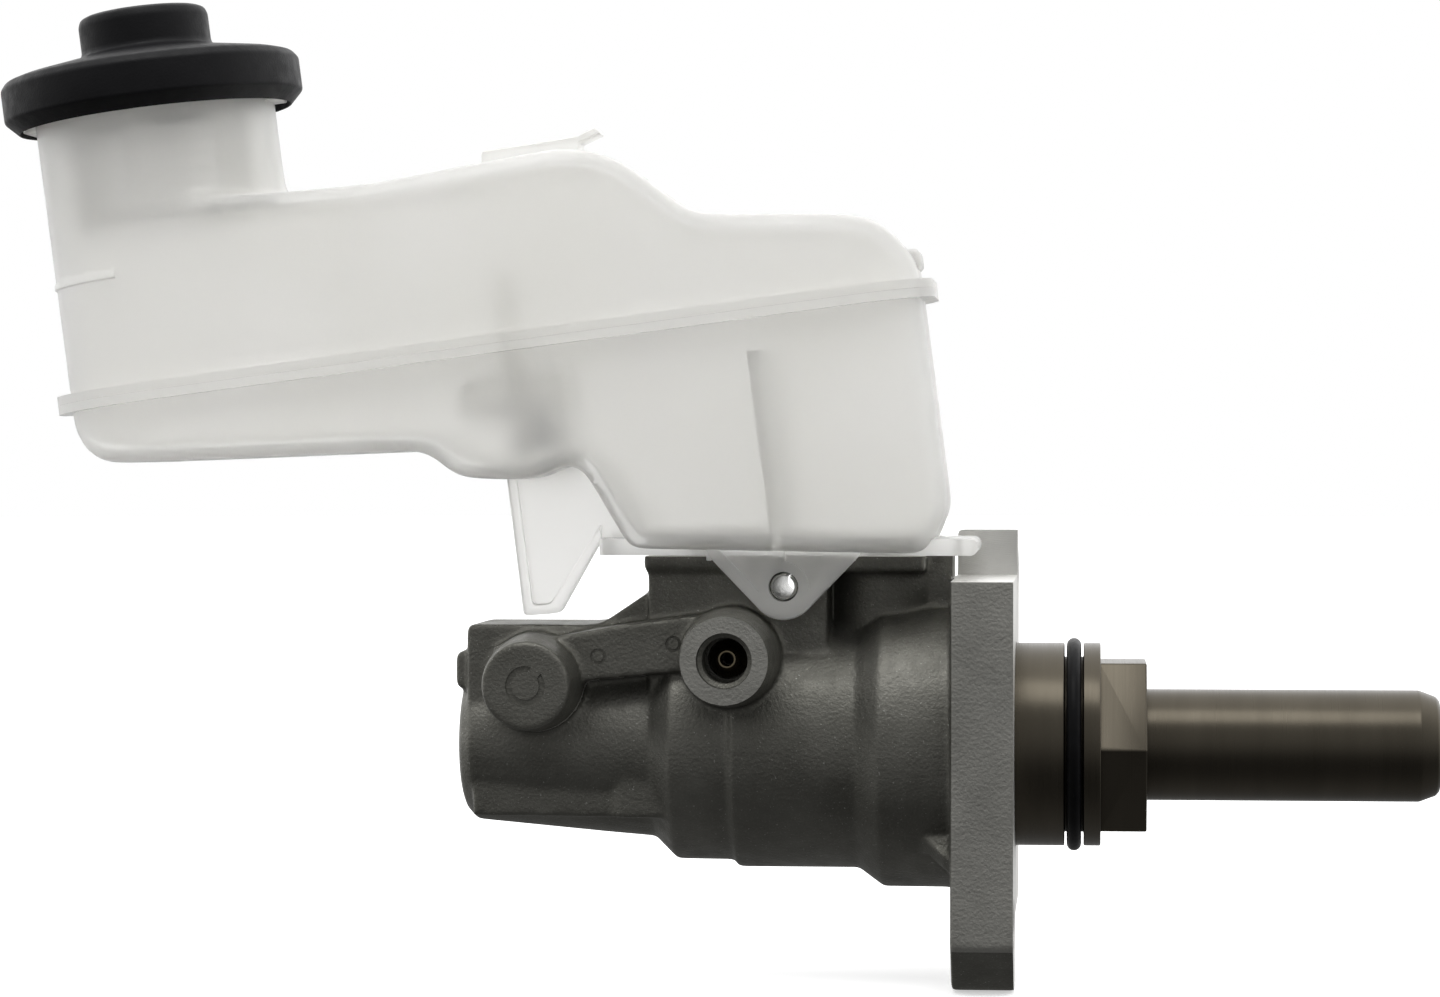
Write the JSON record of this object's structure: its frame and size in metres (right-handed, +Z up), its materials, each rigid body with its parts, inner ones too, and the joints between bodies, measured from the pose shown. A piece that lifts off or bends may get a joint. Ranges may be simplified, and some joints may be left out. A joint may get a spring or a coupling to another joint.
{
  "type": "brake master cylinder",
  "caption": "Tandem brake master cylinder: cast body with two-stud flange, plunger in a hexagon guide sleeve, and a pinned translucent fluid reservoir with a screw cap.",
  "frame": {"origin": "bore axis where it meets the booster mounting face of the flange", "axes": "+X along the bore towards the booster and pushrod, +Z up towards the reservoir, -Y towards the side with the machined rear outlet port"},
  "size_m": [0.2906, 0.0753, 0.1964],
  "materials": {
    "cast_aluminium": "as-cast, bead blasted, with machined port and mounting faces",
    "anodised_aluminium": "hard anodised, satin",
    "rubber": "moulded, satin",
    "spring_steel": "plated, satin",
    "brass": "turned",
    "translucent_plastic": "milky translucent moulding",
    "black_plastic": "fine moulded grain",
    "magnet": "sintered"
  },
  "bodies": {
    "housing": {"cylinder_body": "cast_aluminium", "guide_sleeve": "anodised_aluminium", "spigot_oring": "rubber", "sleeve_oring": "rubber", "primary_recuperating_cup": "rubber", "primary_pressure_cup": "rubber", "secondary_recuperating_cup": "rubber", "secondary_pressure_cup": "rubber", "secondary_spring": "spring_steel", "primary_tube_seat": "brass", "secondary_tube_seat": "brass", "front_grommet": "rubber", "rear_grommet": "rubber", "reservoir_lower": "translucent_plastic", "reservoir_upper": "translucent_plastic", "retaining_pin": "spring_steel", "level_switch": "black_plastic", "strainer": "translucent_plastic"},
    "primary_plunger": {"primary_piston": "anodised_aluminium", "primary_spring": "spring_steel", "retainer_bolt": "spring_steel"},
    "secondary_plunger": {"secondary_piston": "anodised_aluminium", "spring_retainer": "spring_steel"},
    "float": {"level_float": "translucent_plastic", "float_magnet": "magnet"},
    "diaphragm": {"cap_diaphragm": "rubber"},
    "cap": {"filler_cap": "black_plastic"}
  },
  "joints": [
    {"name": "primary_travel", "type": "slide", "parent": "housing", "child": "primary_plunger", "axis": [-1, 0, 0], "range_m": [0, 0.03], "stiffness_N_per_m": 1200, "springref_m": -0.02, "deforming": ["primary_spring", "secondary_spring"]},
    {"name": "secondary_travel", "type": "slide", "parent": "housing", "child": "secondary_plunger", "axis": [-1, 0, 0], "range_m": [0, 0.015], "stiffness_N_per_m": 1200, "springref_m": -0.01},
    {"name": "float_travel", "type": "slide", "parent": "housing", "child": "float", "axis": [-0.1305, 0, 0.9914], "range_m": [0, 0.018]},
    {"name": "cap_lift", "type": "slide", "parent": "housing", "child": "diaphragm", "axis": [-0.1305, 0, 0.9914], "range_m": [0, 0.03]},
    {"name": "cap_turn", "type": "hinge", "parent": "diaphragm", "child": "cap", "pos_m": [-0.17579, 0, 0.13071], "axis": [-0.1305, 0, 0.9914], "range_deg": [0, 90]}
  ],
  "couplings": [
    {"joint": "secondary_travel", "follows": "primary_travel", "ratio": 0.5}
  ]
}
